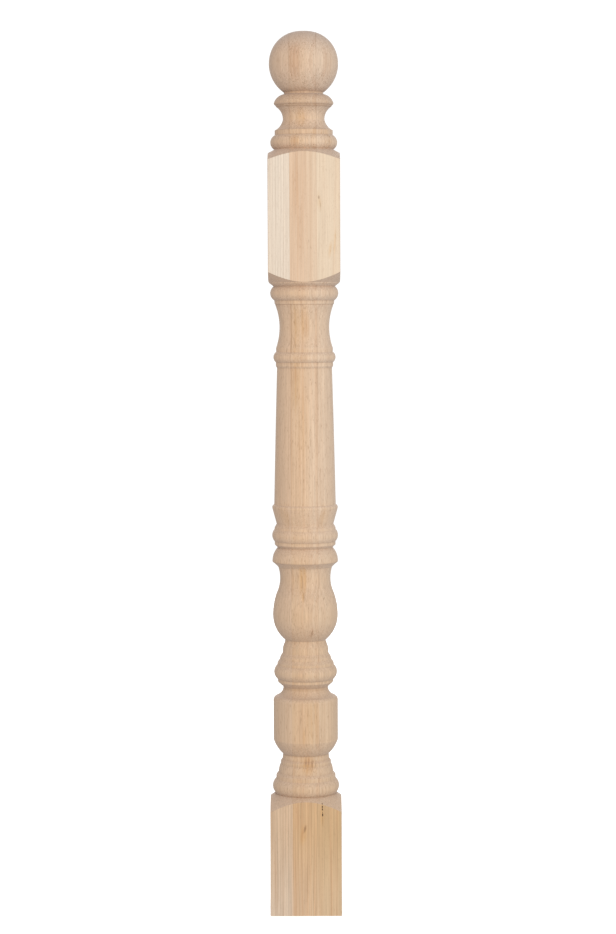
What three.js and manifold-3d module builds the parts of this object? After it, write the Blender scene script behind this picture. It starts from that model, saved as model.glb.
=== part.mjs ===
// A stair newel post in plain unfinished hardwood, made as a turner makes it: a square blank that keeps
// its flat faces at the foot and at the rail block, and is turned round everywhere else. Millimetres,
// +Z up. The origin is the centre of the foot's underside, and the front face looks along -Y.

import * as THREE from 'three';
import { mergeVertices } from 'three/addons/utils/BufferGeometryUtils.js';
import Module from 'manifold-3d';

// The blank
const blankSide = 89;         // across the flats of the square stock
const arris = 0.8;            // flat of the bevel that eases the four long edges
const latheClearance = 3;     // how far the turning profile stands clear of the square where it isn't cut

// The two stretches left square, measured at the corners
const footHeight = 131;
const railBlockHeight = 137.3;

// Every turned member rises by its own height to the radius at its upper end. A swell bows it out from
// the straight line between its two ends, and a negative swell hollows it.
const foot = {
  shoulder: { rise: 17, radius: 37.8 },
  bead: { rise: 18.4, radius: 36.9, swell: 4.1 },
  fillet: { rise: 4.3, radius: 36.9 },
  lowerStep: { rise: 3.9, radius: 34.3 },
  cone: { rise: 7.7, radius: 32.9 },
  upperStep: { rise: 2.9, radius: 31.4 },
  land: { rise: 3.5, radius: 31.4 },
  fall: { rise: 2.9, radius: 29.1 },
  neck: { rise: 5.4, radius: 28.5 },
};

const drum = {
  cup: { rise: 19, radius: 40, swell: 1.3 },
  barrel: { rise: 49.4, radius: 40 },
  shoulder: { rise: 5.6, radius: 36, swell: 1.1 },
  grooveFall: { rise: 9.8, radius: 27, swell: -1.7 },
  grooveRise: { rise: 8.8, radius: 34.5 },
};

const ring = {
  fillet: { rise: 2.7, radius: 34.8 },
  bead: { rise: 17.9, radius: 35.3, swell: 4.15 },
  firstLand: { rise: 3, radius: 35.1 },
  firstSlope: { rise: 4.5, radius: 32 },
  secondLand: { rise: 3, radius: 31.5 },
  secondSlope: { rise: 4.5, radius: 28.5 },
  thirdLand: { rise: 7.8, radius: 27.8 },
  thirdSlope: { rise: 5.5, radius: 25.5 },
};

const vase = {
  foot: { rise: 2.7, radius: 24.7 },
  bowl: { rise: 33.8, radius: 40, swell: 4.2 },
  shoulder: { rise: 26.2, radius: 35.4, swell: 1.1 },
  neck: { rise: 32.4, radius: 33.5, swell: -3.2 },
};

const collar = {
  underside: { rise: 6.6, radius: 41, swell: -0.2 },
  back: { rise: 16.8, radius: 34, swell: 2 },
  bandRise: { rise: 4.3, radius: 37.5 },
  bandLand: { rise: 3.2, radius: 37.5 },
  bead: { rise: 16.4, radius: 38.3, swell: 3 },
  fillet: { rise: 2.7, radius: 38 },
  step: { rise: 4.1, radius: 35.5 },
  flare: { rise: 19.4, radius: 40.8 },
  flareLip: { rise: 5.1, radius: 38.5, swell: 1.1 },
};

const column = {
  shaft: { rise: 167.8, radius: 34.4, swell: 0.15 },
  shaftTop: { rise: 2.1, radius: 34.3 },
  filletRise: { rise: 2.6, radius: 35.8 },
  fillet: { rise: 4.4, radius: 35.7 },
  bead: { rise: 13.1, radius: 35.3, swell: 3.25 },
  neckFillet: { rise: 4.6, radius: 35.5 },
  neck: { rise: 55.8, radius: 36.3, swell: -5.1 },
  neckLip: { rise: 3.6, radius: 37.6 },
  topBead: { rise: 17.3, radius: 37.8, swell: 4.4 },
  chamfer: { rise: 6.2, radius: 43.8 },
};

// The last cut below the rail block runs out to the block's corners
const blockShoulderRise = 11.8;

const cap = {
  shoulder: { rise: 14, radius: 36.6 },
  bead: { rise: 17.7, radius: 36, swell: 5.2 },
  fillet: { rise: 5.8, radius: 36.1 },
  coveFall: { rise: 13.2, radius: 25.8, swell: -1.9 },
  coveRise: { rise: 15.6, radius: 33.8, swell: -2.3 },
  edge: { rise: 4.4, radius: 36.7, swell: 0.4 },
  lip: { rise: 12, radius: 22.2, swell: 2.8 },
};

// The ball is a true sphere up to the crown, which was sanded a little flatter, with a small flat on top
const ballRadius = 42.9;
const crownStartRadius = 39;
const crownRise = 21.8;
const crownSwell = 3.5;
const topFlatRadius = 9;

// Facets of the solid
const sides = 40;
const arcStep = THREE.MathUtils.degToRad(18);

// An arc from one point to another that bows out from the line between them by its swell, as a list of
// the points after the first one. Points are radius and height.
function bowedStretch(from, to, swell = 0) {
  const chord = from.distanceTo(to);
  const turn = 4 * Math.atan(2 * Math.abs(swell) / chord);
  const steps = Math.max(1, Math.round(turn / arcStep));
  if (steps === 1) return [to];
  const along = to.clone().sub(from).divideScalar(chord);
  const out = new THREE.Vector2(along.y, -along.x).multiplyScalar(Math.sign(swell));
  const arcRadius = chord / (2 * Math.sin(turn / 2));
  const middle = from.clone().lerp(to, 0.5);
  const centre = middle.addScaledVector(out, Math.abs(swell) - arcRadius);
  const points = [];
  for (let step = 1; step <= steps; step++) {
    const angle = turn * (step / steps - 0.5);
    const reach = arcRadius * Math.cos(angle);
    const shift = arcRadius * Math.sin(angle);
    points.push(centre.clone().addScaledVector(out, reach).addScaledVector(along, shift));
  }
  return points;
}

// The members of a stretch, one on top of the other, from where the profile has got to
function addMembers(profile, members) {
  for (const { rise, radius, swell } of Object.values(members)) {
    const from = profile.at(-1);
    const to = new THREE.Vector2(radius, from.y + rise);
    profile.push(...bowedStretch(from, to, swell));
  }
}

// A straight cut carried on past the blank's corner, so that it leaves the square cleanly
function carriedPast(inner, corner, clearRadius) {
  const reach = (clearRadius - inner.x) / (corner.x - inner.x);
  return inner.clone().lerp(corner, reach);
}

// The whole turning profile, from the middle of the underside to the middle of the ball's top
function turningProfile() {
  const cornerRadius = blankSide / Math.SQRT2;
  const clearRadius = cornerRadius + latheClearance;
  const profile = [new THREE.Vector2(0, 0), new THREE.Vector2(clearRadius, 0)];

  const footCorner = new THREE.Vector2(cornerRadius, footHeight);
  const footShoulderEnd = new THREE.Vector2(foot.shoulder.radius, footHeight + foot.shoulder.rise);
  profile.push(carriedPast(footShoulderEnd, footCorner, clearRadius));
  profile.push(footCorner);
  for (const members of [foot, drum, ring, vase, collar, column]) addMembers(profile, members);

  const chamferEnd = profile.at(-1);
  const blockCorner = new THREE.Vector2(cornerRadius, chamferEnd.y + blockShoulderRise);
  profile.push(carriedPast(chamferEnd, blockCorner, clearRadius));

  const capCorner = new THREE.Vector2(cornerRadius, blockCorner.y + railBlockHeight);
  const capShoulderEnd = new THREE.Vector2(cap.shoulder.radius, capCorner.y + cap.shoulder.rise);
  profile.push(carriedPast(capShoulderEnd, capCorner, clearRadius));
  profile.push(capCorner);
  addMembers(profile, cap);

  addBall(profile);
  return profile;
}

// The ball sits down on the lip, where its own section is as wide as the lip's inner edge
function addBall(profile) {
  const crease = profile.at(-1);
  const centreHeight = crease.y + Math.sqrt(ballRadius ** 2 - crease.x ** 2);
  const first = -Math.acos(crease.x / ballRadius);
  const last = Math.acos(crownStartRadius / ballRadius);
  const ballSteps = Math.ceil((last - first) / (arcStep / 2));
  for (let step = 1; step <= ballSteps; step++) {
    const angle = first + (last - first) * step / ballSteps;
    const height = centreHeight + ballRadius * Math.sin(angle);
    profile.push(new THREE.Vector2(ballRadius * Math.cos(angle), height));
  }
  const crownStart = profile.at(-1);
  const crownEnd = new THREE.Vector2(topFlatRadius, crownStart.y + crownRise);
  profile.push(...bowedStretch(crownStart, crownEnd, crownSwell));
  profile.push(new THREE.Vector2(0, crownEnd.y));
}

// The square stock with its four eased edges, from below the underside to above the ball
function blankGeometry(height) {
  const half = blankSide / 2;
  const inset = half - arris / Math.SQRT2;
  const outline = new THREE.Shape([
    new THREE.Vector2(half, -inset), new THREE.Vector2(half, inset),
    new THREE.Vector2(inset, half), new THREE.Vector2(-inset, half),
    new THREE.Vector2(-half, inset), new THREE.Vector2(-half, -inset),
    new THREE.Vector2(-inset, -half), new THREE.Vector2(inset, -half),
  ]);
  const stock = new THREE.ExtrudeGeometry(outline, {
    depth: height + 2 * latheClearance,
    bevelEnabled: false,
  });
  return stock.translate(0, 0, -latheClearance);
}

const manifold = await Module();
manifold.setup();

// A geometry as a closed solid, with its shared corners merged and its empty triangles at the poles left out
function solidOf(geometry) {
  geometry.deleteAttribute('normal');
  geometry.deleteAttribute('uv');
  const merged = mergeVertices(geometry);
  const corners = merged.index.array;
  const triangles = [];
  for (let start = 0; start < corners.length; start += 3) {
    const [a, b, c] = corners.slice(start, start + 3);
    if (a !== b && b !== c && c !== a) triangles.push(a, b, c);
  }
  return new manifold.Manifold(new manifold.Mesh({
    numProp: 3,
    vertProperties: merged.getAttribute('position').array,
    triVerts: new Uint32Array(triangles),
  }));
}

function geometryOf(solid) {
  const mesh = solid.getMesh();
  const geometry = new THREE.BufferGeometry();
  geometry.setAttribute('position', new THREE.BufferAttribute(mesh.vertProperties, 3));
  geometry.setIndex(new THREE.BufferAttribute(mesh.triVerts, 1));
  geometry.computeVertexNormals();
  return geometry;
}

// Turning the blank leaves only what is inside both the square and the turned shape
function newelPostGeometry() {
  const profile = turningProfile();
  const turned = new THREE.LatheGeometry(profile, sides).rotateX(Math.PI / 2);
  const stock = blankGeometry(profile.at(-1).y);
  return geometryOf(solidOf(turned).intersect(solidOf(stock)));
}

const paleHardwood = new THREE.MeshStandardMaterial({
  color: new THREE.Color(0.86, 0.74, 0.6),
  roughness: 0.72,
  metalness: 0,
});

const newelPost = new THREE.Mesh(newelPostGeometry(), paleHardwood);
newelPost.name = 'newel_post';

const post = new THREE.Group();
post.add(newelPost);

export default post;
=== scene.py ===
# A stair newel post in plain, unfinished hardwood: a square foot, a turned column with its beads, drum,
# vase, collar and tapered shaft, a square rail block and a ball top. It stands exactly where its CAD solid
# stands, in metres, with +Z up and the front face towards -Y.

import math
from typing import NamedTuple

import bmesh
import bpy
from mathutils import Matrix, Vector


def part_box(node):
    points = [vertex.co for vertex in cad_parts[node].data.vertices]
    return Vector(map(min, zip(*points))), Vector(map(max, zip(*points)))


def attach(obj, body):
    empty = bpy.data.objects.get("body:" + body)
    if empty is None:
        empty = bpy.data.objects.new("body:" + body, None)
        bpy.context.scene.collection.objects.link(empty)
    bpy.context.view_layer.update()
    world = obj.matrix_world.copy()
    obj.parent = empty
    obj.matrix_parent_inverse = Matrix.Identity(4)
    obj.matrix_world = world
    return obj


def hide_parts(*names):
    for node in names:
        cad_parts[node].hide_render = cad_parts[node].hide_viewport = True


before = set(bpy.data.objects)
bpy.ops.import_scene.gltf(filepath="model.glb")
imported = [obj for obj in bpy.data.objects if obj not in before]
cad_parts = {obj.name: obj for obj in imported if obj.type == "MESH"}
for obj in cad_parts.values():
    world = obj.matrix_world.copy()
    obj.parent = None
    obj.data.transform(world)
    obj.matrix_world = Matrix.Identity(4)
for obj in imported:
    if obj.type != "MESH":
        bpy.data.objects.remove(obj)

bl_info = {
    "name": "Turned newel post",
    "version": (1, 0, 0),
    "blender": (4, 5, 0),
    "location": "3D View > Sidebar > Newel post",
    "description": "Turns a ball-top newel post from a glued-up blank and sets it on a pale stage",
    "category": "Object",
}

SOLID = "newel_post"
SOLID_LOW, SOLID_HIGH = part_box(SOLID)
MM = 0.001


def length(name, description, default):
    """A size in metres, in the units of the scene"""
    return bpy.props.FloatProperty(
        name=name, description=description, default=default, min=0, subtype="DISTANCE", unit="LENGTH",
        precision=5,
    )


def colour(name, description, default):
    """A colour in linear light"""
    return bpy.props.FloatVectorProperty(
        name=name, description=description, default=default, min=0, max=1, size=3, subtype="COLOR",
    )


def share(name, description, default):
    """A strength from none to full"""
    return bpy.props.FloatProperty(
        name=name, description=description, default=default, min=0, max=1, subtype="FACTOR",
    )


def number(name, description, default):
    """A plain number"""
    return bpy.props.FloatProperty(name=name, description=description, default=default, min=0)


def angle(name, description, degrees):
    """An angle, given here in degrees"""
    return bpy.props.FloatProperty(
        name=name, description=description, default=math.radians(degrees), subtype="ANGLE",
        unit="ROTATION",
    )


class PostSizes(bpy.types.PropertyGroup):
    """Sizes of the blank and of its main forms"""

    blank_side: length("Blank", "Side of the square stock", SOLID_HIGH.x - SOLID_LOW.x)
    arris: length("Arris", "Radius of the four long edges", 0.97 * MM)
    foot_height: length("Foot", "Height of the square foot at its corners", 131 * MM)
    block_shoulder: length("Block shoulder", "Rise of the cut under the rail block", 12.6 * MM)
    rail_block: length("Rail block", "Height of the square rail block at its corners", 137.3 * MM)
    ball_radius: length("Ball", "Radius of the ball", 42.9 * MM)
    crown_radius: length("Crown", "Radius where the ball's flatter crown starts", 39 * MM)
    crown_rise: length("Crown rise", "Height of the crown", 21.8 * MM)
    crown_swell: length("Crown swell", "How far the crown bows out of its chord", 4.8 * MM)
    top_flat: length("Top flat", "Radius of the small flat on top", 9 * MM)
    edge_wear: length("Edge wear", "How far sanding has rounded the turned edges", 0.4 * MM)
    joint_softness: length("Joint softness", "How far the cutter has rounded the turned joints", 0.2 * MM)
    columns: bpy.props.IntProperty(
        name="Columns", description="Faces round the turning, a multiple of eight",
        default=144, min=16, max=320,
    )


class WoodLook(bpy.types.PropertyGroup):
    """Colours and surface of the glued-up blank"""

    left_block: colour("Left stave, rail block", "Pale cream sapwood", (0.665, 0.560, 0.450))
    left_foot: colour("Left stave, foot", "The same stave, planed, by the floor", (0.565, 0.402, 0.267))
    left_turned: colour("Left stave, turned", "The same stave off the lathe", (0.628, 0.437, 0.290))
    middle_block: colour("Middle stave, rail block", "Pinkish tan", (0.610, 0.437, 0.300))
    middle_foot: colour("Middle stave, foot", "The same stave, planed, by the floor", (0.540, 0.354, 0.195))
    middle_turned: colour("Middle stave, turned", "The same stave off the lathe", (0.630, 0.437, 0.279))
    right_block: colour("Right stave, rail block", "Yellowish cream", (0.650, 0.515, 0.375))
    right_foot: colour("Right stave, foot", "The same stave, planed, by the floor", (0.520, 0.346, 0.186))
    right_turned: colour("Right stave, turned", "The same stave off the lathe", (0.645, 0.483, 0.342))
    streak: colour("Streak", "Orange-brown bands of the growth rings", (0.480, 0.265, 0.135))
    figure: colour("Figure", "Golden figure in the middle stave", (0.550, 0.300, 0.100))
    end_grain: colour("End grain", "Greyer brown of the slopes cut across the grain", (0.430, 0.350, 0.325))
    handled: colour("Handled wood", "Grey of the ball, where hands have been", (0.440, 0.360, 0.315))
    # This colour also paints the glue lines, the threads, the dust and painted shade of the joints, and the
    # painted shade beneath the ball
    pore_and_shade: colour("Pores", "Short dark pores", (0.280, 0.155, 0.085))
    fleck: colour("Flecks", "Dark flecks and the inside of the shake", (0.120, 0.050, 0.022))
    planed_roughness: share("Planed", "Roughness of the flat faces", 0.58)
    turned_roughness: share("Turned", "Roughness of the turned surface", 0.68)
    pore_depth: length("Pore depth", "Depth of the pores and cutter marks", 0.12 * MM)


class StageLook(bpy.types.PropertyGroup):
    """The camera, the lamps and the pale floor"""

    camera_distance: length("Distance", "Camera to the turning axis, along the floor", 3.1546)
    camera_height: length("Height", "Camera above the floor", 0.7793)
    camera_side: length("Side step", "Camera to the right of the axis", 3.9 * MM)
    pitch: angle("Pitch", "How far the camera looks down", 4.0019)
    roll: angle("Roll", "How far the camera leans", 0.2)
    lens: number("Lens", "Focal length in millimetres on a 36 mm sensor", 97.52)
    key_power: number("Key", "Watts of the large soft lamp beside the camera", 72)
    back_power: number("Back", "Watts of the soft lamp behind the post", 45)
    ambient: number("Ambient", "Light from all around", 0.68)
    backdrop: number("Backdrop", "Brightness of the seamless background", 1.1)
    floor_glow: number("Floor glow", "Light that keeps the floor as pale as the background", 0.45)
    floor_colour: colour("Floor", "Pale floor", (0.9, 0.9, 0.9))


class Cut(NamedTuple):
    """One turned member: its rise, the radius at its upper end and how far it bows out, in millimetres,
    and how dark the joint at its upper end is painted, from none to full, with dust and painted shade"""

    rise: float
    radius: float
    swell: float = 0
    dark: float = 0


FOOT = {
    "shoulder": Cut(17, 37.8, 0, 1),
    "bead": Cut(18.4, 37.3, 4.2, 0.1),
    "fillet": Cut(4.6, 37.3),
    "lower step": Cut(3.6, 34.6, 0, 0.25),
    "cone": Cut(7.7, 33.2),
    "upper step": Cut(2.9, 31.6, 0, 0.3),
    "land": Cut(3.5, 31.6),
    "fall": Cut(2.9, 29.4, 0, 0.3),
    "neck": Cut(6.2, 28.8, 0, 0.7),
}

DRUM = {
    "cup": Cut(18.2, 40.5, 1.5),
    "barrel": Cut(48.2, 40.5),
    "shoulder": Cut(6.8, 37, 1.3, 0.05),
    "groove fall": Cut(9.4, 28.1, -1.7, 0.5),
    "groove bottom": Cut(2.4, 28.2, 0, 0.5),
    "groove rise": Cut(6, 34.8),
}

RING = {
    "fillet": Cut(3.5, 35.1, 0, 0.2),
    "bead": Cut(17.9, 35.6, 4.2, 0.1),
    "first land": Cut(3, 35.4),
    "first slope": Cut(4.5, 32.3, 0, 0.05),
    "second land": Cut(3, 31.8),
    "second slope": Cut(4.5, 28.9, 0, 0.05),
    "third land": Cut(7.8, 28.3),
    "third slope": Cut(5.9, 26.1, 0, 0.1),
}

VASE = {
    "foot": Cut(2.7, 25.4, 0, 0.25),
    "bowl": Cut(33.4, 40.7, 4.4),
    "shoulder": Cut(26.2, 35.8, 1.1),
    "neck": Cut(32.4, 33.7, -3.1, 0.15),
}

COLLAR = {
    "underside": Cut(6.6, 41, -0.3, 0.35),
    "back": Cut(18, 34.3, 2, 0.35),
    "band rise": Cut(3.6, 38.1),
    "band land": Cut(3.9, 38.1, 0, 0.3),
    "bead": Cut(15.2, 38.3, 3),
    "fillet": Cut(2.7, 38),
    "step": Cut(4.1, 35.5, 0, 0.1),
    "flare": Cut(19.4, 40.8),
    "flare lip": Cut(5.1, 38.5, 1.1),
}

COLUMN = {
    "shaft": Cut(168.3, 34.4, 0.15),
    "shaft top": Cut(2.1, 34.3, 0, 0.2),
    "fillet rise": Cut(2.6, 35.8),
    "fillet": Cut(4.4, 35.7, 0, 0.3),
    "bead": Cut(13.1, 35.3, 3.25, 0.05),
    "neck fillet": Cut(4.6, 35.5),
    "neck": Cut(53.9, 36.3, -4.9),
    "neck notch": Cut(0.5, 35.9, 0, 0.4),
    "neck ledge": Cut(0.3, 37),
    "neck lip": Cut(4.5, 37.4, 0, 0.5),
    "top bead": Cut(17.4, 38.2, 4.6, 0.45),
    "chamfer": Cut(4, 43.4),
    "chamfer edge": Cut(1, 43.8),
}

CAP_SHOULDER = Cut(14, 36.6)

# The darkest joints, at the cove rise and the under edge, paint the shade under the cap's lip
CAP = {
    "bead": Cut(17.7, 36, 5.2, 0.4),
    "fillet": Cut(5.8, 36.1, 0, 0.45),
    "cove fall": Cut(13.2, 25.8, -1.9),
    "cove rise": Cut(15.6, 33.8, -2.3, 1),
    "under edge": Cut(2.1, 35.4, 0, 1),
    "edge": Cut(2.3, 37.1, 0.2, 0.3),
    "lip": Cut(11.3, 24.4, 2.6, 0.25),
    "ball fillet": Cut(2.12, 24.4, 0, 0.4),
}

LATHE_CLEARANCE = 3 * MM             # how far the turning stands clear of the square where it isn't cut
MERGE_REACH = 0.001 * MM
PLANE_REACH = 0.0001 * MM            # points this close to a plane lie on it
JOINT_REACHES = (1 * MM, 2.4 * MM)   # extra points near either end of a straight stretch
JOINT_ROOM = 2.5                     # a stretch this many times as long as their reach gets them
ARC_STEP = math.radians(5)
ARC_CHORD = 2.5 * MM
STRAIGHT_STEP = 25 * MM
SHARP_TURN = math.radians(12)        # a gentler turn of the outline isn't an edge or a joint
SHARP_EDGE = math.radians(32)        # faces that meet at more than this are shaded with an edge
WEAR_SEGMENTS = 2
ARRIS_PLANES = (0.25, 0.5, 0.75)     # where the planes that ease an arris lie between its two faces
DUST_AND_SHADE_REACH = 1.6 * MM                # how far the painted dust and shade of a joint spread


class TurningLine:
    """The outline that the lathe follows, drawn in the plane y = 0 from the middle of the underside"""

    def __init__(self, blank):
        self.blank = blank
        self.tip = bmesh.ops.create_vert(blank, co=(0, 0, 0))["vert"][0]
        self.dark_joints = []

    @property
    def height(self):
        return self.tip.co.z

    def darken(self, dark):
        """Note how dark the joint at the tip is painted, with dust and painted shade"""
        if dark:
            self.dark_joints.append((self.tip.co.copy(), dark))

    def straight_to(self, radius, height):
        """Carry the line on without a bend, with a few points close to either end"""
        start = self.tip.co.copy()
        end = Vector((radius, 0, height))
        reach = (end - start).length
        stops = {0.0, reach}
        for near in JOINT_REACHES:
            if reach > JOINT_ROOM * near:
                stops.update((near, reach - near))
        stretches = round(reach / STRAIGHT_STEP)
        stops.update(reach * step / stretches for step in range(1, stretches))
        for stop in sorted(stops)[1:]:
            self.tip = bmesh.ops.extrude_vert_indiv(self.blank, verts=[self.tip])["verts"][0]
            move = start.lerp(end, stop / reach) - self.tip.co
            bmesh.ops.translate(self.blank, verts=[self.tip], vec=move)

    def bow_to(self, radius, height, swell):
        """Carry the line on in an arc, which bows outwards for a swell and inwards for a hollow"""
        start = self.tip.co.copy()
        end = Vector((radius, 0, height))
        chord = (end - start).length
        turn = 4 * math.atan(2 * abs(swell) / chord)
        arc_radius = chord / (2 * math.sin(turn / 2))
        side = math.copysign(1, swell)
        out = Vector((end.z - start.z, 0, start.x - end.x)).normalized() * side
        centre = start.lerp(end, 0.5) + out * (abs(swell) - arc_radius)
        self.sweep(centre, turn, side, arc_radius)

    def sweep(self, centre, turn, side, arc_radius):
        """Swing the line's tip round a centre"""
        steps = max(2, math.ceil(turn / ARC_STEP), math.ceil(turn * arc_radius / ARC_CHORD))
        swung = bmesh.ops.spin(
            self.blank, geom=[self.tip], cent=centre, axis=(0, -side, 0), angle=turn, steps=steps,
            use_merge=False, use_duplicate=False,
        )
        self.tip = next(item for item in swung["geom_last"] if isinstance(item, bmesh.types.BMVert))

    def cut(self, members):
        """Cut members one above the other"""
        for member in members.values():
            radius = member.radius * MM
            height = self.height + member.rise * MM
            if member.swell:
                self.bow_to(radius, height, member.swell * MM)
            else:
                self.straight_to(radius, height)
            self.darken(member.dark)

    def points(self):
        """The points of the line in order, from the underside to the top"""
        ends = [point for point in self.blank.verts if len(point.link_edges) == 1]
        chain = [min(ends, key=lambda point: point.co.z)]
        behind = None
        while True:
            ahead = [edge for edge in chain[-1].link_edges if edge is not behind]
            if not ahead:
                return chain
            behind = ahead[0]
            chain.append(behind.other_vert(chain[-1]))


def outline_turn(before, at, after):
    """How far the line turns at a point: above zero round an edge, below zero in a joint"""
    coming = at.co - before.co
    going = after.co - at.co
    cross = coming.x * going.z - coming.z * going.x
    return math.atan2(cross, coming.dot(going))


def draw_post(line, sizes):
    """Draw the whole post, from the middle of the underside to the middle of the ball's top"""
    corner = sizes.blank_side / math.sqrt(2)
    clear = corner + LATHE_CLEARANCE

    def past_corner(inner_radius, inner_height, corner_height):
        reach = (clear - inner_radius) / (corner - inner_radius)
        return inner_height + reach * (corner_height - inner_height)

    shoulder = FOOT["shoulder"]
    shoulder_top = sizes.foot_height + shoulder.rise * MM
    line.straight_to(clear, 0)
    line.straight_to(clear, past_corner(shoulder.radius * MM, shoulder_top, sizes.foot_height))
    line.straight_to(corner, sizes.foot_height)
    for members in (FOOT, DRUM, RING, VASE, COLLAR, COLUMN):
        line.cut(members)

    chamfer = line.tip.co.copy()
    block_foot = chamfer.z + sizes.block_shoulder
    line.straight_to(clear, past_corner(chamfer.x, chamfer.z, block_foot))
    block_top = block_foot + sizes.rail_block
    cap_radius = CAP_SHOULDER.radius * MM
    cap_height = block_top + CAP_SHOULDER.rise * MM
    line.straight_to(clear, past_corner(cap_radius, cap_height, block_top))
    line.straight_to(cap_radius, cap_height)
    line.cut(CAP)
    draw_ball(line, sizes)


def draw_ball(line, sizes):
    """A ball that sits down on the lip of the cap, with its slightly flatter crown"""
    crease = line.tip.co.x
    ball = sizes.ball_radius
    rise = math.sqrt(ball ** 2 - crease ** 2)
    centre = Vector((0, 0, line.height + rise))
    turn = math.acos(crease / ball) + math.acos(sizes.crown_radius / ball)
    line.sweep(centre, turn, 1, ball)
    line.bow_to(sizes.top_flat, line.height + sizes.crown_rise, sizes.crown_swell)
    line.straight_to(0, line.height)


def soften_turns(line, sizes):
    """Round the edges as sanding does, and the joints as the tip of the cutter does"""
    for sign, offset in ((1, sizes.edge_wear), (-1, sizes.joint_softness)):
        chain = line.points()
        turns = [
            at for before, at, after in zip(chain, chain[1:], chain[2:])
            if sign * outline_turn(before, at, after) > SHARP_TURN
        ]
        bmesh.ops.bevel(
            line.blank, geom=turns, offset=offset, offset_type="OFFSET", affect="VERTICES",
            segments=WEAR_SEGMENTS, profile=0.5, material=-1, clamp_overlap=True,
        )


def mark_surface(line):
    """Note how dark each point's joint is painted, with dust and painted shade, and how far its surface
    lies across the grain
    """
    crease = line.blank.verts.layers.float.new("crease")
    end_grain = line.blank.verts.layers.float.new("end_grain")
    chain = line.points()
    last = len(chain) - 1
    for place, at in enumerate(chain):
        near = chain[min(place + 1, last)].co - chain[max(place - 1, 0)].co
        at[end_grain] = abs(near.x) / near.length
        at[crease] = max(
            max(0, dark * (1 - (at.co - joint).length / DUST_AND_SHADE_REACH))
            for joint, dark in line.dark_joints
        )


def turn_blank(line, columns):
    """Carry the outline once round the axis, and close the poles"""
    blank = line.blank
    outline = blank.verts[:] + blank.edges[:]
    bmesh.ops.spin(
        blank, geom=outline, cent=(0, 0, 0), axis=(0, 0, 1), angle=2 * math.pi, steps=columns,
        use_merge=True, use_duplicate=False,
    )
    bmesh.ops.remove_doubles(blank, verts=blank.verts, dist=MERGE_REACH)


def plane_off(blank, distance, heading):
    """Plane off whatever lies past a distance from the axis, in the direction of the heading"""
    normal = Vector((math.cos(heading), math.sin(heading), 0))
    bmesh.ops.bisect_plane(
        blank, geom=blank.verts[:] + blank.edges[:] + blank.faces[:], dist=PLANE_REACH,
        plane_co=normal * distance, plane_no=normal, clear_outer=True,
    )
    rim = [edge for edge in blank.edges if edge.is_boundary]
    bmesh.ops.holes_fill(blank, edges=rim, sides=0)


def square_up(blank, sizes):
    """Plane the four flat faces, then ease the four arrises between them"""
    half = sizes.blank_side / 2
    quarter = math.pi / 2
    for side in range(4):
        plane_off(blank, half, side * quarter)
    inset = half - sizes.arris
    for corner in range(4):
        for share_of_corner in ARRIS_PLANES:
            lean = share_of_corner * quarter
            distance = inset * (math.cos(lean) + math.sin(lean)) + sizes.arris
            plane_off(blank, distance, corner * quarter + lean)


def clean_up(blank):
    """Make the underside one face, take out slivers and turn every face outwards"""
    underside = [face for face in blank.faces if max(v.co.z for v in face.verts) < MERGE_REACH]
    bmesh.ops.dissolve_faces(blank, faces=underside, use_verts=True)
    bmesh.ops.dissolve_degenerate(blank, edges=blank.edges, dist=MERGE_REACH)
    bmesh.ops.recalc_face_normals(blank, faces=blank.faces)


def shade_faces(mesh, sizes):
    """Shade the planed faces and the underside flat, and the rest smooth up to its sharp turns"""
    planed = sizes.blank_side / 2 - MERGE_REACH
    for face in mesh.polygons:
        side = max(abs(face.center.x), abs(face.center.y))
        face.use_smooth = side < planed and face.center.z > MERGE_REACH
    mesh.set_sharp_from_angle(angle=SHARP_EDGE)


class Pit(NamedTuple):
    """One opening of the drying shake in the foot, in millimetres"""

    x: float
    y: float
    height: float
    half_width: float
    half_depth: float
    half_height: float
    lean: float


# The shake runs down from the foot's shoulder on to the front face, in pits that don't touch each other
SHAKE = (
    Pit(20.1, -43.3, 141.4, 0.5, 1.8, 0.9, 0),
    Pit(20.2, -44.4, 137.7, 0.65, 2.2, 1.6, 2),
    Pit(20.3, -44.4, 134.4, 0.6, 2.2, 1.5, -2),
    Pit(20.5, -44.4, 131, 0.3, 1.2, 0.8, 0),
    Pit(20.6, -44.4, 127.6, 0.7, 2.4, 2.2, 3),
)
SHAKE_STAIN = (1.7, 1.3)      # the dark of a pit, in shares of its half width and half height
SHAKE_DARK = 0.95
PIT_FINENESS = 2


def shake_cutter():
    """The space that the shake takes out of the wood, as one mesh"""
    cutter = bmesh.new()
    for pit in SHAKE:
        grown = bmesh.ops.create_icosphere(cutter, subdivisions=PIT_FINENESS, radius=1)["verts"]
        bmesh.ops.scale(cutter, verts=grown, vec=Vector(
            (pit.half_width, pit.half_depth, pit.half_height)) * MM)
        lean = Matrix.Rotation(math.radians(pit.lean), 3, "Y")
        bmesh.ops.rotate(cutter, verts=grown, cent=(0, 0, 0), matrix=lean)
        bmesh.ops.translate(cutter, verts=grown, vec=Vector((pit.x, pit.y, pit.height)) * MM)
    mesh = bpy.data.meshes.new("shake_cutter")
    cutter.to_mesh(mesh)
    cutter.free()
    return mesh


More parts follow.
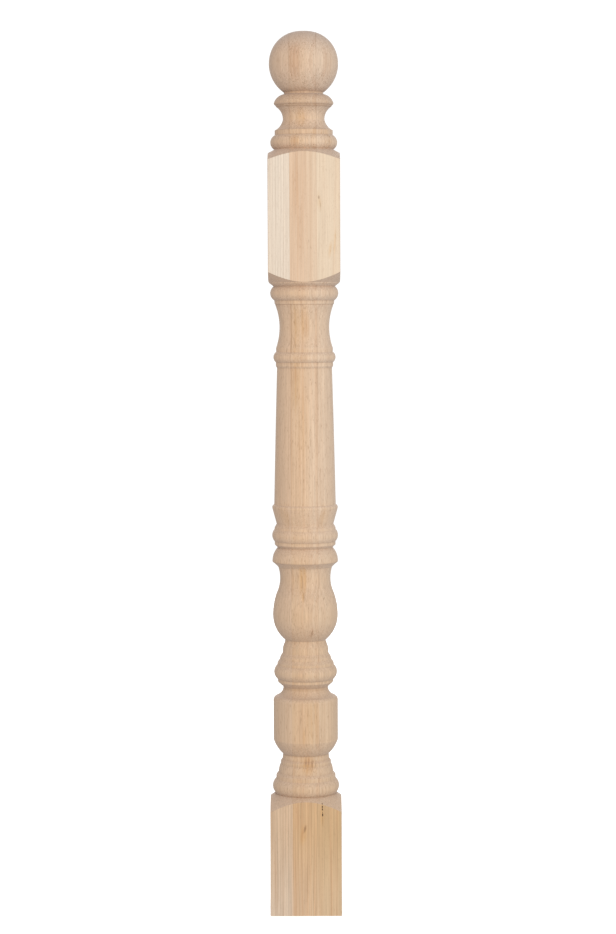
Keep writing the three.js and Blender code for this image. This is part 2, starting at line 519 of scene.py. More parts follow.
def open_shake(post):
    """Cut the shake out of the post, and keep the result as the post's own mesh"""
    tool = bpy.data.objects.new("shake_cutter", shake_cutter())
    bpy.context.scene.collection.objects.link(tool)
    cut = post.modifiers.new("Shake", "BOOLEAN")
    cut.operation = "DIFFERENCE"
    cut.solver = "EXACT"
    cut.object = tool
    bpy.context.view_layer.update()
    depsgraph = bpy.context.evaluated_depsgraph_get()
    opened = bpy.data.meshes.new_from_object(
        post.evaluated_get(depsgraph), preserve_all_data_layers=True, depsgraph=depsgraph)
    trimmed = bmesh.new()
    trimmed.from_mesh(opened)
    bmesh.ops.dissolve_degenerate(trimmed, edges=trimmed.edges, dist=MERGE_REACH)
    trimmed.to_mesh(opened)
    trimmed.free()
    if not opened.polygons:
        raise RuntimeError("the shake took the whole post away")
    solid = post.data
    post.modifiers.clear()
    post.data = opened
    bpy.data.meshes.remove(solid)
    bpy.data.meshes.remove(tool.data)
    opened.name = post.name


def post_mesh(sizes):
    """The post as one closed mesh"""
    blank = bmesh.new()
    line = TurningLine(blank)
    draw_post(line, sizes)
    soften_turns(line, sizes)
    mark_surface(line)
    turn_blank(line, sizes.columns)
    square_up(blank, sizes)
    clean_up(blank)
    mesh = bpy.data.meshes.new("turned_newel_post")
    blank.to_mesh(mesh)
    blank.free()
    return mesh


class Amount:
    """A socket that carries one number, so that arithmetic on it adds Math nodes"""

    def __init__(self, finish, socket):
        self.finish = finish
        self.socket = socket

    def __add__(self, other):
        return self.finish.math("ADD", self, other)

    def __sub__(self, other):
        return self.finish.math("SUBTRACT", self, other)

    def __rsub__(self, other):
        return self.finish.math("SUBTRACT", other, self)

    def __mul__(self, other):
        return self.finish.math("MULTIPLY", self, other)

    def __truediv__(self, other):
        return self.finish.math("DIVIDE", self, other)

    def __abs__(self):
        return self.finish.math("ABSOLUTE", self)

    __radd__ = __add__
    __rmul__ = __mul__


# Where a colour Mix node keeps its sockets
MIX_FACTOR, MIX_FIRST, MIX_SECOND, MIX_RESULT = 0, 6, 7, 2


class Nodes:
    """A node tree, started afresh"""

    def __init__(self, tree):
        self.tree = tree
        tree.nodes.clear()

    def node(self, kind, settings=None, inputs=None):
        """Add a node, with its settings first and then the values or links of its sockets"""
        made = self.tree.nodes.new(kind)
        for name, setting in (settings or {}).items():
            setattr(made, name, setting)
        for name, value in (inputs or {}).items():
            self.feed(made.inputs[name], value)
        return made

    def feed(self, socket, value):
        """Link a socket to another one, or give it a value of its own"""
        if isinstance(value, Amount):
            value = value.socket
        if isinstance(value, bpy.types.NodeSocket):
            self.tree.links.new(value, socket)
        elif isinstance(value, (int, float)):
            socket.default_value = value
        elif len(value) < len(socket.default_value):
            socket.default_value = (*value, 1)
        else:
            socket.default_value = value


class Finish(Nodes):
    """A material and the nodes that paint it"""

    def __init__(self, name):
        self.material = bpy.data.materials.new(name)
        self.material.use_nodes = True
        super().__init__(self.material.node_tree)

    def math(self, operation, first, second=None):
        """A sum on numbers"""
        values = {0: first} if second is None else {0: first, 1: second}
        return Amount(self, self.node("ShaderNodeMath", {"operation": operation}, values).outputs[0])

    def largest(self, *amounts):
        """The largest of some amounts"""
        top = amounts[0]
        for amount in amounts[1:]:
            top = self.math("MAXIMUM", top, amount)
        return top

    def rise(self, amount, low, high):
        """Nothing below one value, full above another, and smooth between them"""
        settings = {"interpolation_type": "SMOOTHSTEP"}
        inputs = {"Value": amount, "From Min": low, "From Max": high}
        return Amount(self, self.node("ShaderNodeMapRange", settings, inputs).outputs["Result"])

    def fade(self, amount, low, high):
        """Full below one value, nothing above another, and smooth between them"""
        return 1 - self.rise(amount, low, high)

    def blend(self, factor, first, second):
        """One colour over another"""
        inputs = {MIX_FACTOR: factor, MIX_FIRST: first, MIX_SECOND: second}
        made = self.node("ShaderNodeMix", {"data_type": "RGBA"}, inputs)
        return made.outputs[MIX_RESULT]

    def placed(self, vector, **inputs):
        """A vector that is scaled, turned and then moved"""
        named = {name.capitalize(): value for name, value in inputs.items()}
        return self.node("ShaderNodeMapping", {}, {"Vector": vector, **named}).outputs["Vector"]

    def noise(self, vector, detail, roughness=0.5):
        """Soft noise with features about one unit across"""
        inputs = {"Vector": vector, "Scale": 1, "Detail": detail, "Roughness": roughness}
        return Amount(self, self.node("ShaderNodeTexNoise", {}, inputs).outputs["Fac"])


class Stain(NamedTuple):
    """A natural mark in the wood: its centre, its half sizes, its lean in degrees and its strength"""

    x: float
    y: float
    height: float
    half_width: float
    half_height: float
    lean: float
    strength: float


STAIN_DEPTH = 9               # half the depth of every mark, in millimetres
STAIN_RIM = 0.8               # the share of a mark's half size over which it sets in

# Golden figure, in millimetres
GOLDEN = (
    Stain(-4, -27, 990, 9, 18, 0, 0.35),
    Stain(-10, -38, 962, 7, 12, 0, 0.4),
    Stain(18.6, -44.5, 888, 4, 16, -5, 0.35),
    Stain(32, -44.5, 829, 3, 14, 8, 0.5),
    Stain(38, -44.5, 838, 2, 24, 3, 0.3),
    Stain(14, -34, 975, 16, 60, 0, 0.25),
    Stain(27, -26, 975, 12, 50, 0, 0.3),
    Stain(-27, -30, 497, 14, 24, 0, 0.35),
    Stain(25, -31, 497, 14, 24, 0, 0.35),
    Stain(-11, -31, 735, 7, 60, 0, 0.4),
    Stain(0, -31, 742, 9, 40, 0, 0.32),
    Stain(-10.5, -34, 665, 8, 50, 0, 0.42),
    Stain(-2, -33, 610, 12, 80, 0, 0.2),
    Stain(-3.4, -33, 421, 7, 32, 0, 0.7),
    Stain(-3, -36, 401, 2.6, 12, 0, 0.7),
    Stain(-1.5, -40, 225, 3, 18, 0, 0.4),
    Stain(8, -39.5, 244, 12, 50, 0, 0.35),
    Stain(3, -30, 186, 13, 18, 0, 0.8),
    Stain(-3.4, -44.5, 103, 6, 18, 6, 0.5),
    Stain(20.5, -44.5, 128, 4, 20, 0, 0.4),
)

# Orange-brown figure, in millimetres
ORANGE = (
    Stain(-11.5, -39, 1060, 10.5, 48, 0, 1),
    Stain(30, -31, 1052, 13, 40, 0, 0.4),
    Stain(-11.5, -38, 962, 6.5, 10, 0, 0.6),
    Stain(-9.5, -44.5, 905, 7, 60, 0, 0.36),
    Stain(-4.5, -44.5, 852, 5, 55, 0, 0.30),
    Stain(2, -31, 736, 3.4, 22, 0, 0.4),
    Stain(-12, -34, 676, 5, 16, 0, 0.55),
    Stain(7.6, -35, 354, 3.6, 12, 12, 0.6),
    Stain(4, -30, 189, 9, 15, 0, 0.5),
    Stain(-11, -44.5, 125, 6, 30, 0, 0.4),
    Stain(-3.4, -44.5, 106, 3.6, 15, 10, 0.5),
    Stain(-36.3, -44.5, 20, 1.5, 28, 0, 0.5),
    Stain(-38, -44.5, 45, 5, 60, 0, 0.35),
)

# Thin brown threads of the grain, in millimetres
THREADS = (
    Stain(-16.2, -30, 732, 1.4, 48, 0, 0.5),
    Stain(-11.6, -32, 713, 1, 12, -14, 0.4),
    Stain(-16, -34, 672, 1.3, 26, 0, 0.35),
    Stain(-3.4, -33, 416, 1.3, 13, 0, 0.45),
    Stain(-2, -36, 400, 1.1, 9, -6, 0.45),
    Stain(8, -35, 353, 1.3, 9, 12, 0.55),
    Stain(2.9, -40, 256, 0.8, 6, 0, 0.35),
    Stain(10.8, -39, 250, 0.8, 7, 0, 0.35),
    Stain(-6.5, -40, 245, 0.9, 8, 0, 0.4),
    Stain(-0.3, -40.5, 232, 0.9, 9, 0, 0.4),
    Stain(8.5, -39.5, 226, 0.8, 7, 0, 0.35),
    Stain(-13.6, -38, 222, 0.9, 7, 0, 0.4),
    Stain(0, -31, 190, 1.3, 9, 0, 0.6),
    Stain(3.4, -31, 192, 1, 7, 0, 0.6),
    Stain(7.8, -31, 189, 1.3, 10, 0, 0.65),
    Stain(12.4, -28, 188, 1, 6, 0, 0.5),
)

# Small dark flecks, in millimetres
FLECKS = (
    Stain(18.2, -44.5, 892.4, 1.6, 3.4, 0, 0.42),
    Stain(20.3, -44.5, 883, 1, 4.5, 0, 0.2),
    Stain(5.8, -44.5, 839.2, 1, 2.6, 0, 0.15),
    Stain(8.2, -44.5, 831.8, 1, 3, 0, 0.15),
    Stain(-1.3, -44.5, 110, 2.2, 7, 12, 0.45),
    Stain(20.6, -44.5, 120, 1.2, 10, 0, 0.22),
    Stain(7.2, -34, 668.9, 1, 2, 0, 0.3),
    Stain(13.4, -31, 665, 1, 2, 0, 0.25),
    Stain(1.5, -35, 660, 0.9, 1.8, 0, 0.25),
    Stain(-4.8, -35, 629, 0.9, 2, 0, 0.25),
)


class Stave(NamedTuple):
    """Where a stave's pith lies, how the grain leans to the blank and how wide a ring is, in millimetres"""

    pith_x: float
    pith_y: float
    lean_x: float
    lean_y: float
    ring: float


LEFT_STAVE = Stave(-210, 35, 0.3, -0.4, 3.1)
MIDDLE_STAVE = Stave(-130, 30, -0.6, 0.5, 3.4)
RIGHT_STAVE = Stave(150, 118, 0.7, 0.6, 5.2)

# The two glue lines lean a little to the blank: their place at the floor and their drift per millimetre
LEFT_GLUE, LEFT_DRIFT = -16.4, -0.00137
RIGHT_GLUE, RIGHT_DRIFT = 17.1, -0.00174
GLUE_BLUR = 0.15
FOOT_GLUE_BLUR = 2.4          # the left glue line gets softer towards the floor
GLUE_REACH = 0.9
STAVE_BLEND = (-2, 11)        # where the middle stave's pink turns into the right stave's cream

# Heights, in millimetres, between which something comes in on the way up, or fades
UNDERSIDE_FADE = (0.02, 0.06)
PALE_FOOT_FADE = (5, 115)
SOFT_GLUE_FADE = (20, 125)
STRONG_GRAIN_FADE = (150, 800)
FOOT_COLOUR_FADE = (300, 700)
GOLDEN_TURNED_FADE = (310, 540)
CAP_RISE = (940, 960)
UNDER_BALL_RISE = (1000, 1018)
BALL_RISE = (1010, 1040)
UNDER_BALL_FADE = (1023, 1030)
CROWN_RISE = (1070, 1096)

# How far inside the flat faces the planed surface starts to show and shows in full, in millimetres
PLANED_START, PLANED_FULL = 0.06, 0.02


class StaveTone(NamedTuple):
    """How much paler a stave's foot gets next to the floor, and how golden its turned wood low down"""

    name: str
    paling: float
    gold: float


STAVE_TONES = (
    StaveTone("left", 0.45, 0.62),
    StaveTone("middle", 0.55, 0.36),
    StaveTone("right", 0.3, 0.36),
)


class Grain(NamedTuple):
    """Noise drawn out along the grain: the size of its features across and along it in millimetres, how
    fine it gets, how far its pattern is moved, the values between which it sets in, and its roughness"""

    across: float
    along: float
    detail: float
    shift: float
    sets_in: tuple = ()
    roughness: float = 0.5


WANDER = Grain(38, 210, 2, 7)                # the rings don't run quite straight
LASTING = Grain(9, 70, 1, 53, (0.38, 0.6))   # where the dark line of a ring lasts
BROAD = Grain(7, 160, 2, 3, (0.42, 0.72))    # broad bands of darker wood
FIBRE = Grain(1.6, 90, 2, 11, roughness=0.6)
DASHES = Grain(1.1, 7, 1, 23, (0.57, 0.74))
PORES = Grain(0.42, 3.2, 1, 31, (0.62, 0.74))
SPECKS = Grain(1, 1.2, 1, 41, (0.58, 0.7))   # specks of the end grain
SPECK_SLOPES = (0.15, 0.5)                   # how far across the grain they come in
CUTTER_MARKS = (0.02, 0.02, 1.6)             # marks per millimetre across and along the post
NOISE_MIDDLE = 0.5


class RingNoise(NamedTuple):
    """Noise that changes from ring to ring: its features per ring, its detail and roughness, and the
    values between which it sets in"""

    scale: float
    detail: float
    roughness: float
    sets_in: tuple


SOFT_BANDS = RingNoise(0.9, 2, 0.6, (0.42, 0.68))
UNEVEN_LINES = RingNoise(1.7, 1, 0.5, (0.35, 0.65))

# Over which part of a ring its dark line comes in and goes out again
LINE_COMES, LINE_GOES = (0.5, 0.85), (0.88, 1)

# How strongly each thing shows. A name that starts with a place says how much is added there.
RING_WANDER, MIDDLE_WANDER = 0.9, 1.2
LINE_LEAST, LINE_UNEVEN = 0.3, 0.7
LINE_FAINTEST, LINE_LASTING, LEFT_LASTING = 0.4, 0.8, 0.6
BLEND_PLANED, BLEND_TURNED = 0.5, 0.25
CONTRAST, TURNED_CONTRAST, FOOT_CONTRAST = 0.85, 0.3, 0.7
BAND_TINT, MIDDLE_BAND_TINT = 0.08, 0.08
BROAD_TINT, MIDDLE_BROAD_TINT = 0.07, 0.08
LINE_TINT, FOOT_LINE_TINT, LEFT_LINE_TINT = 0.12, 0.10, 0.05
FIGURE, FIGURE_BANDS, FIGURE_DASHES = 0.5, 0.4, 0.6
TURNED_GREY, ACROSS_GREY = 0.06, 0.25
# The last of these is the painted shade beneath the ball, where the ball overhangs the lip
BALL_GREY, CROWN_GREY, UNDER_BALL_SHADE = 0.14, 0.3, 0.17
PLANED_GLUE, TURNED_GLUE, BROAD_GLUE, CAP_GLUE = 0.05, 0.08, 0.2, 0.16
DASH_DARK, TURNED_DASH_DARK, PORE_DARK = 0.12, 0.24, 0.24
SPECK_DARK, CAP_SPECK_DARK = 0.3, 0.4
# The dark joints: dust in the joints together with painted shade, strongest under the cap's lip
JOINT_DUST_AND_SHADE = 0.5
FIBRE_SHADE, MIDDLE_FIBRE_SHADE = 0.40, 0.3
LEFT_LINE_SHADE, LEFT_FOOT_LINE_SHADE = 0.13, 0.05
ACROSS_ROUGHNESS, PORE_ROUGHNESS = 0.12, 0.06
FIBRE_HEIGHT, PORE_HEIGHT, DASH_HEIGHT, CUTTER_HEIGHT = 0.3, 0.6, 0.3, 0.35
BUMP = 0.5
SPECULAR = 0.25
SHEEN, SHEEN_ROUGHNESS = 0.18, 0.4           # the raised fibres catch light at the rim
SHEEN_TINT = (0.9, 0.93, 1)


class WoodFinish(Finish):
    """Pale hardwood, glued up from three staves, with its rings, pores, end grain and natural marks"""

    def __init__(self, look, sizes):
        super().__init__("Pale hardwood")
        self.look = look
        here = self.node("ShaderNodeTexCoord").outputs["Object"]
        self.place = self.placed(here, scale=(1 / MM, 1 / MM, 1 / MM))
        split = self.node("ShaderNodeSeparateXYZ", {}, {"Vector": self.place})
        self.x, self.y, self.z = (Amount(self, split.outputs[axis]) for axis in "XYZ")
        self.half = sizes.blank_side / 2 / MM

    def surface_note(self, name):
        """A number that the mesh carries"""
        return Amount(self, self.node("ShaderNodeAttribute", {"attribute_name": name}).outputs["Fac"])

    def grain(self, kind):
        """Noise drawn out along the grain: from none to full where it sets in, or else around zero"""
        scale = (1 / kind.across, 1 / kind.across, 1 / kind.along)
        shift = (kind.shift, kind.shift, kind.shift)
        place = self.placed(self.place, scale=scale, location=shift)
        noise = self.noise(place, kind.detail, kind.roughness)
        if kind.sets_in:
            return self.rise(noise, *kind.sets_in)
        return noise - NOISE_MIDDLE

    def from_ring_to_ring(self, rings, kind):
        """Noise that changes with the count of rings"""
        inputs = {"W": rings, "Scale": kind.scale, "Detail": kind.detail, "Roughness": kind.roughness}
        noise = self.node("ShaderNodeTexNoise", {"noise_dimensions": "1D"}, inputs)
        return self.rise(Amount(self, noise.outputs["Fac"]), *kind.sets_in)

    def stave_at(self, x):
        """The stave that a natural mark lies in"""
        if x < LEFT_GLUE:
            return self.left
        if x > RIGHT_GLUE:
            return self.right
        return self.middle

    def stain(self, mark):
        """One natural mark, full at its centre, gone at its half sizes and kept to its own stave"""
        settings = {"vector_type": "TEXTURE"}
        inputs = {
            "Vector": self.place,
            "Location": (mark.x, mark.y, mark.height),
            "Rotation": (0, math.radians(mark.lean), 0),
            "Scale": (mark.half_width, STAIN_DEPTH, mark.half_height),
        }
        local = self.node("ShaderNodeMapping", settings, inputs).outputs["Vector"]
        ball = self.node("ShaderNodeTexGradient", {"gradient_type": "SPHERICAL"}, {"Vector": local})
        shape = self.rise(Amount(self, ball.outputs["Fac"]), 0, STAIN_RIM)
        return shape * mark.strength * self.stave_at(mark.x)

    def strongest(self, marks):
        """The strongest of some natural marks at each point"""
        return self.largest(*(self.stain(mark) for mark in marks))

    def ring_count(self, stave):
        """How many growth rings lie between the pith and this point"""
        turned = self.placed(
            self.place,
            rotation=(math.radians(stave.lean_x), math.radians(stave.lean_y), 0),
            location=(-stave.pith_x, -stave.pith_y, 0),
        )
        flat = self.node("ShaderNodeVectorMath", {"operation": "MULTIPLY"}, {0: turned, 1: (1, 1, 0)})
        span = self.node("ShaderNodeVectorMath", {"operation": "LENGTH"}, {0: flat.outputs[0]})
        return Amount(self, span.outputs["Value"]) / stave.ring

    def find_staves(self):
        """How much of each stave a point lies in, and how near a glue line it is"""
        past_left = self.x - self.z * LEFT_DRIFT - LEFT_GLUE
        past_right = self.x - self.z * RIGHT_DRIFT - RIGHT_GLUE
        left_blur = GLUE_BLUR + self.fade(self.z, *SOFT_GLUE_FADE) * FOOT_GLUE_BLUR
        self.left = self.fade(past_left, 0 - left_blur, left_blur)
        self.right = self.rise(past_right, -GLUE_BLUR, GLUE_BLUR)
        self.middle = 1 - self.left - self.right
        nearest = self.math("MINIMUM", abs(past_left), abs(past_right))
        self.glue = self.fade(nearest, 0, GLUE_REACH)

    def find_surfaces(self):
        """Which surface is planed, which is turned and which lies across the grain"""
        side = self.largest(abs(self.x), abs(self.y))
        self.planed = self.rise(side, self.half - PLANED_START, self.half - PLANED_FULL)
        self.turned = 1 - self.planed
        underside = self.fade(self.z, *UNDERSIDE_FADE)
        self.across = self.largest(self.surface_note("end_grain") * self.turned, underside)
        self.left_face = self.left * self.planed
        self.cap = self.rise(self.z, *CAP_RISE)

    def find_rings(self):
        """The soft bands and the fine dark lines of the growth rings"""
        rings = (
            self.ring_count(LEFT_STAVE) * self.left
            + self.ring_count(MIDDLE_STAVE) * self.middle
            + self.ring_count(RIGHT_STAVE) * self.right
        )
        rings = rings + self.grain(WANDER) * (RING_WANDER + self.middle * MIDDLE_WANDER)
        self.bands = self.from_ring_to_ring(rings, SOFT_BANDS)
        cycle = self.math("FRACT", rings)
        lines = self.rise(cycle, *LINE_COMES) * self.fade(cycle, *LINE_GOES)
        lines = lines * (LINE_LEAST + self.from_ring_to_ring(rings, UNEVEN_LINES) * LINE_UNEVEN)
        lasting = self.largest(self.grain(LASTING), self.left * LEFT_LASTING)
        self.lines = lines * (LINE_FAINTEST + lasting * LINE_LASTING)

    def find_grain(self):
        """The streaks, the dashes, the pores and the specks, and how much they stand out"""
        self.broad = self.grain(BROAD)
        self.fibre = self.grain(FIBRE)
        self.dashes = self.grain(DASHES)
        self.pores = self.grain(PORES)
        self.specks = self.grain(SPECKS) * self.rise(self.across, *SPECK_SLOPES)
        self.low = self.fade(self.z, *STRONG_GRAIN_FADE)
        self.contrast = CONTRAST + self.turned * TURNED_CONTRAST + self.planed * self.low * FOOT_CONTRAST

    def bare_wood(self):
        """The plain colour of the staves, which is more golden at the foot and differs less once turned"""
        look = self.look
        near_floor = self.fade(self.z, *PALE_FOOT_FADE)
        below_block = self.fade(self.z, *FOOT_COLOUR_FADE)
        golden = self.fade(self.z, *GOLDEN_TURNED_FADE)
        colours = []
        for tone in STAVE_TONES:
            block, low, turned = (
                getattr(look, f"{tone.name}_{part}") for part in ("block", "foot", "turned"))
            planed = self.blend(below_block * (1 - near_floor * tone.paling), block, low)
            colours.append(self.blend(self.turned, planed, self.blend(golden * tone.gold, turned, low)))
        left, middle, right = colours
        creamy = self.rise(self.x, *STAVE_BLEND) * (BLEND_PLANED + self.turned * BLEND_TURNED)
        wood = self.blend(creamy, middle, right)
        return self.blend(self.right, self.blend(self.left, wood, left), right)

    def with_rings(self, wood):
        """The growth rings and the golden and orange figure"""
        tint = self.bands * (BAND_TINT + self.middle * MIDDLE_BAND_TINT)
        tint = tint + self.broad * (BROAD_TINT + self.middle * MIDDLE_BROAD_TINT)
        line_tint = LINE_TINT + self.planed * self.low * FOOT_LINE_TINT
        tint = tint + self.lines * (1 - self.left_face) * line_tint
        tint = tint + self.lines * self.left_face * LEFT_LINE_TINT
        wood = self.blend(tint * self.contrast, wood, self.look.streak)
        figure = FIGURE + self.bands * FIGURE_BANDS + self.dashes * FIGURE_DASHES
        wood = self.blend(self.strongest(GOLDEN) * figure, wood, self.look.figure)
        return self.blend(self.strongest(ORANGE) * figure, wood, self.look.streak)

    def with_greys_and_shade(self, wood):
        """The grey of turned wood and end grain, of the handled ball, and the painted shade beneath the
        ball
        """
        look = self.look
        wood = self.blend(self.turned * TURNED_GREY + self.across * ACROSS_GREY, wood, look.end_grain)
        ball = self.rise(self.z, *BALL_RISE)
        crown = self.rise(self.z, *CROWN_RISE)
        wood = self.blend(ball * BALL_GREY + crown * CROWN_GREY, wood, look.handled)
        # A darker band over the lip and the crease beneath the ball: painted shade
        shade_under_ball = self.rise(self.z, *UNDER_BALL_RISE) * self.fade(self.z, *UNDER_BALL_FADE)
        return self.blend(shade_under_ball * UNDER_BALL_SHADE, wood, look.pore_and_shade)

    def with_darks(self, wood):
        """The glue lines, the threads, the pores and the dark joints with their painted shade, then the
        flecks and the shake
        """
        look = self.look
        turned_glue = TURNED_GLUE + self.broad * BROAD_GLUE + self.cap * CAP_GLUE
        glue = self.glue * (self.planed * PLANED_GLUE + self.turned * turned_glue)
        wood = self.blend(self.largest(glue, self.strongest(THREADS)), wood, look.pore_and_shade)
        grit = self.dashes * (DASH_DARK + self.turned * TURNED_DASH_DARK) + self.pores * PORE_DARK
        grit = grit + self.specks * (SPECK_DARK + self.cap * CAP_SPECK_DARK)
        wood = self.blend(grit, wood, look.pore_and_shade)
        # Dark joints: dust in the joints and painted shade, strongest under the cap's lip
        wood = self.blend(self.surface_note("crease") * self.turned * JOINT_DUST_AND_SHADE, wood, look.pore_and_shade)
        wider, longer = SHAKE_STAIN
        pits = [
            Stain(pit.x, pit.y, pit.height, pit.half_width * wider, pit.half_height * longer,
                  pit.lean, SHAKE_DARK)
            for pit in SHAKE
        ]
        return self.blend(self.strongest((*FLECKS, *pits)), wood, look.fleck)

    def with_shade(self, wood):
        """The lighter and darker fibres, and the dark lines of the left stave's flat face"""
        fibres = self.contrast + self.middle * self.planed * self.low * MIDDLE_FIBRE_SHADE
        shade = 1 + self.fibre * fibres * FIBRE_SHADE
        shade = shade - self.lines * self.left_face * (LEFT_LINE_SHADE + self.low * LEFT_FOOT_LINE_SHADE)
        tone = self.node("ShaderNodeCombineXYZ", {}, {"X": shade, "Y": shade, "Z": shade})
        return self.node("ShaderNodeVectorMath", {"operation": "MULTIPLY"}, {
            0: wood, 1: tone.outputs["Vector"]}).outputs["Vector"]

    def roughness(self):
        """Rougher off the lathe than off the plane, and roughest across the grain"""
        look = self.look
        roughness = look.planed_roughness + self.turned * (look.turned_roughness - look.planed_roughness)
        return roughness + self.across * ACROSS_ROUGHNESS + self.pores * PORE_ROUGHNESS

    def relief(self):
        """The fibres, the pores and the fine marks of the cutter"""
        cutter_marks = self.noise(self.placed(self.place, scale=CUTTER_MARKS), 1)
        height = self.fibre * FIBRE_HEIGHT - self.pores * PORE_HEIGHT - self.dashes * DASH_HEIGHT
        height = height + cutter_marks * self.turned * CUTTER_HEIGHT
        bump = self.node("ShaderNodeBump", {}, {
            "Strength": BUMP, "Distance": self.look.pore_depth, "Height": height})
        return bump.outputs["Normal"]

    def paint(self):
        """Put the whole finish together"""
        self.find_staves()
        self.find_surfaces()
        self.find_rings()
        self.find_grain()
        wood = self.bare_wood()
        for layer in (self.with_rings, self.with_greys_and_shade, self.with_darks, self.with_shade):
            wood = layer(wood)
        shader = self.node("ShaderNodeBsdfPrincipled", {}, {
            "Base Color": wood,
            "Roughness": self.roughness(),
            "Specular IOR Level": SPECULAR,
            "Sheen Weight": SHEEN,
            "Sheen Roughness": SHEEN_ROUGHNESS,
            "Sheen Tint": SHEEN_TINT,
            "Normal": self.relief(),
        })
        self.node("ShaderNodeOutputMaterial", {}, {"Surface": shader.outputs["BSDF"]})
        return self.material


class NEWEL_OT_turn_post(bpy.types.Operator):
    """Turn the newel post, plane its two square stretches and give it its wood"""

    bl_idname = "newel.turn_post"
    bl_label = "Turn the newel post"

    def execute(self, context):
        sizes = context.scene.newel_sizes
        mesh = post_mesh(sizes)
        if not mesh.polygons:
            raise RuntimeError("the turned post has no faces")
        post = bpy.data.objects.new("turned_newel_post", mesh)
        context.scene.collection.objects.link(post)
        open_shake(post)
        shade_faces(post.data, sizes)
        post.data.materials.clear()
        post.data.materials.append(WoodFinish(context.scene.newel_wood, sizes).paint())
        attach(post, "root")
        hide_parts(SOLID)
        return {"FINISHED"}


LAMP_WIDTH, LAMP_HEIGHT = 2.2, 1.8
KEY_PLACE = (0.65, -3.2, 1.35)
BACK_PLACE = (0, 3.2, 1.6)
LAMP_AIM = (0, 0, 0.6)
FLOOR_RADIUS, FLOOR_SIDES = 14, 96
FLOOR_ROUGHNESS = 0.9
WHITE = (1, 1, 1, 1)


def soft_lamp(name, power, place):
    """A large rectangular lamp that the camera doesn't see"""
    data = bpy.data.lights.new(name, "AREA")
    data.shape = "RECTANGLE"
    data.energy = power
    data.size = LAMP_WIDTH
    data.size_y = LAMP_HEIGHT
    lamp = bpy.data.objects.new(name, data)
    lamp.location = place
    lamp.rotation_euler = (Vector(LAMP_AIM) - Vector(place)).to_track_quat("-Z", "Y").to_euler()
    lamp.visible_camera = False
    bpy.context.scene.collection.objects.link(lamp)


def pale_floor(look):
    """A wide floor, kept as pale as the background"""
    shape = bmesh.new()
    bmesh.ops.create_circle(shape, cap_ends=True, segments=FLOOR_SIDES, radius=FLOOR_RADIUS)
    mesh = bpy.data.meshes.new("pale_floor")
    shape.to_mesh(mesh)
    shape.free()
    floor = bpy.data.objects.new("pale_floor", mesh)
    bpy.context.scene.collection.objects.link(floor)
    floor.visible_diffuse = False
    floor.visible_glossy = False
    finish = Finish("Pale floor")
    shader = finish.node("ShaderNodeBsdfPrincipled", {}, {
        "Base Color": look.floor_colour,
        "Roughness": FLOOR_ROUGHNESS,
        "Specular IOR Level": 0,
        "Emission Color": WHITE,
        "Emission Strength": look.floor_glow,
    })
    finish.node("ShaderNodeOutputMaterial", {}, {"Surface": shader.outputs["BSDF"]})
    mesh.materials.append(finish.material)


def studio_air(look):
    """Even light from all around, with a white background behind it"""
    world = bpy.data.worlds.new("Studio air")
    world.use_nodes = True
    air = Nodes(world.node_tree)
    lit = air.node("ShaderNodeBackground", {}, {"Color": WHITE, "Strength": look.ambient})
    seen = air.node("ShaderNodeBackground", {}, {"Color": WHITE, "Strength": look.backdrop})
    path = air.node("ShaderNodeLightPath")
    mix = air.node("ShaderNodeMixShader", {}, {
        "Fac": path.outputs["Is Camera Ray"],
        1: lit.outputs["Background"],
        2: seen.outputs["Background"],
    })
    air.node("ShaderNodeOutputWorld", {}, {"Surface": mix.outputs["Shader"]})
    bpy.context.scene.world = world


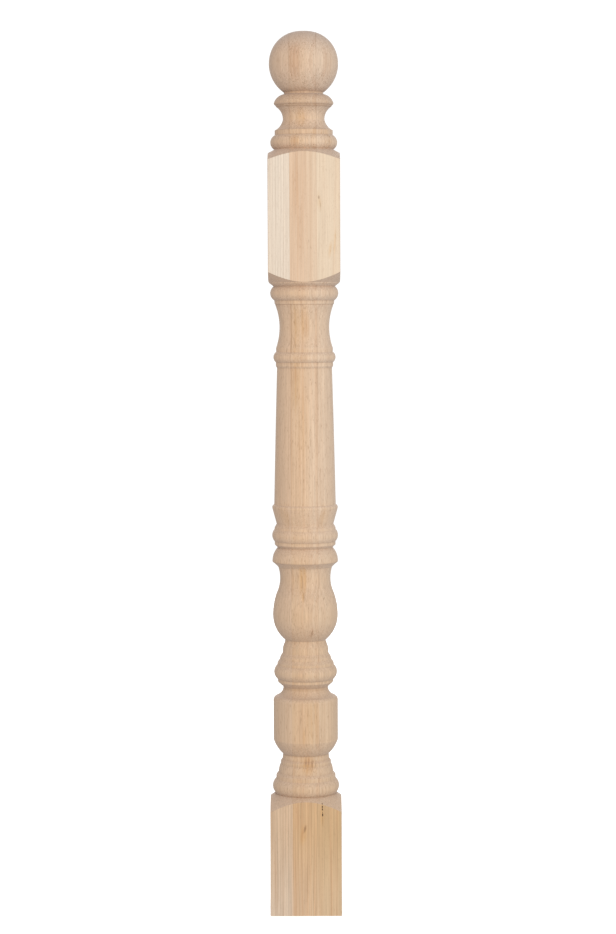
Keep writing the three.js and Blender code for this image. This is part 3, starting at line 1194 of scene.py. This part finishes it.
def stand_camera(look):
    """The camera, level with the post's upper half and looking slightly down"""
    data = bpy.data.cameras.new("Camera")
    data.lens = look.lens
    camera = bpy.data.objects.new("Camera", data)
    place = Matrix.Translation((look.camera_side, -look.camera_distance, look.camera_height))
    tilt = Matrix.Rotation(math.pi / 2 - look.pitch, 4, "X")
    lean = Matrix.Rotation(-look.roll, 4, "Z")
    camera.matrix_world = place @ tilt @ lean
    bpy.context.scene.collection.objects.link(camera)
    bpy.context.scene.camera = camera


class NEWEL_OT_set_stage(bpy.types.Operator):
    """Set up the camera, the soft lamps and the pale floor"""

    bl_idname = "newel.set_stage"
    bl_label = "Set the stage"

    def execute(self, context):
        look = context.scene.newel_stage
        stand_camera(look)
        soft_lamp("Key lamp", look.key_power, KEY_PLACE)
        soft_lamp("Back lamp", look.back_power, BACK_PLACE)
        studio_air(look)
        pale_floor(look)
        context.scene.view_settings.view_transform = "Standard"
        if context.scene.camera is None:
            raise RuntimeError("the stage has no camera")
        return {"FINISHED"}


class NEWEL_PT_panel(bpy.types.Panel):
    """The newel post's steps and sizes"""

    bl_label = "Newel post"
    bl_idname = "NEWEL_PT_panel"
    bl_space_type = "VIEW_3D"
    bl_region_type = "UI"
    bl_category = "Newel post"

    def draw(self, context):
        layout = self.layout
        for operator in OPERATORS:
            layout.operator(operator.bl_idname)
        for name in SETTINGS:
            group = getattr(context.scene, name)
            box = layout.box()
            for key in group.bl_rna.properties.keys():
                if key not in ("rna_type", "name"):
                    box.prop(group, key)


OPERATORS = (NEWEL_OT_turn_post, NEWEL_OT_set_stage)
SETTINGS = {"newel_sizes": PostSizes, "newel_wood": WoodLook, "newel_stage": StageLook}


def register():
    for group in SETTINGS.values():
        bpy.utils.register_class(group)
    for name, group in SETTINGS.items():
        setattr(bpy.types.Scene, name, bpy.props.PointerProperty(type=group))
    for kind in (*OPERATORS, NEWEL_PT_panel):
        bpy.utils.register_class(kind)


def unregister():
    for kind in (NEWEL_PT_panel, *reversed(OPERATORS)):
        bpy.utils.unregister_class(kind)
    for name in SETTINGS:
        delattr(bpy.types.Scene, name)
    for group in SETTINGS.values():
        bpy.utils.unregister_class(group)


def main():
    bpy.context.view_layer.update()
    register()
    bpy.ops.newel.turn_post()
    bpy.ops.newel.set_stage()
    bpy.context.view_layer.update()


if __name__ == "__main__":
    main()
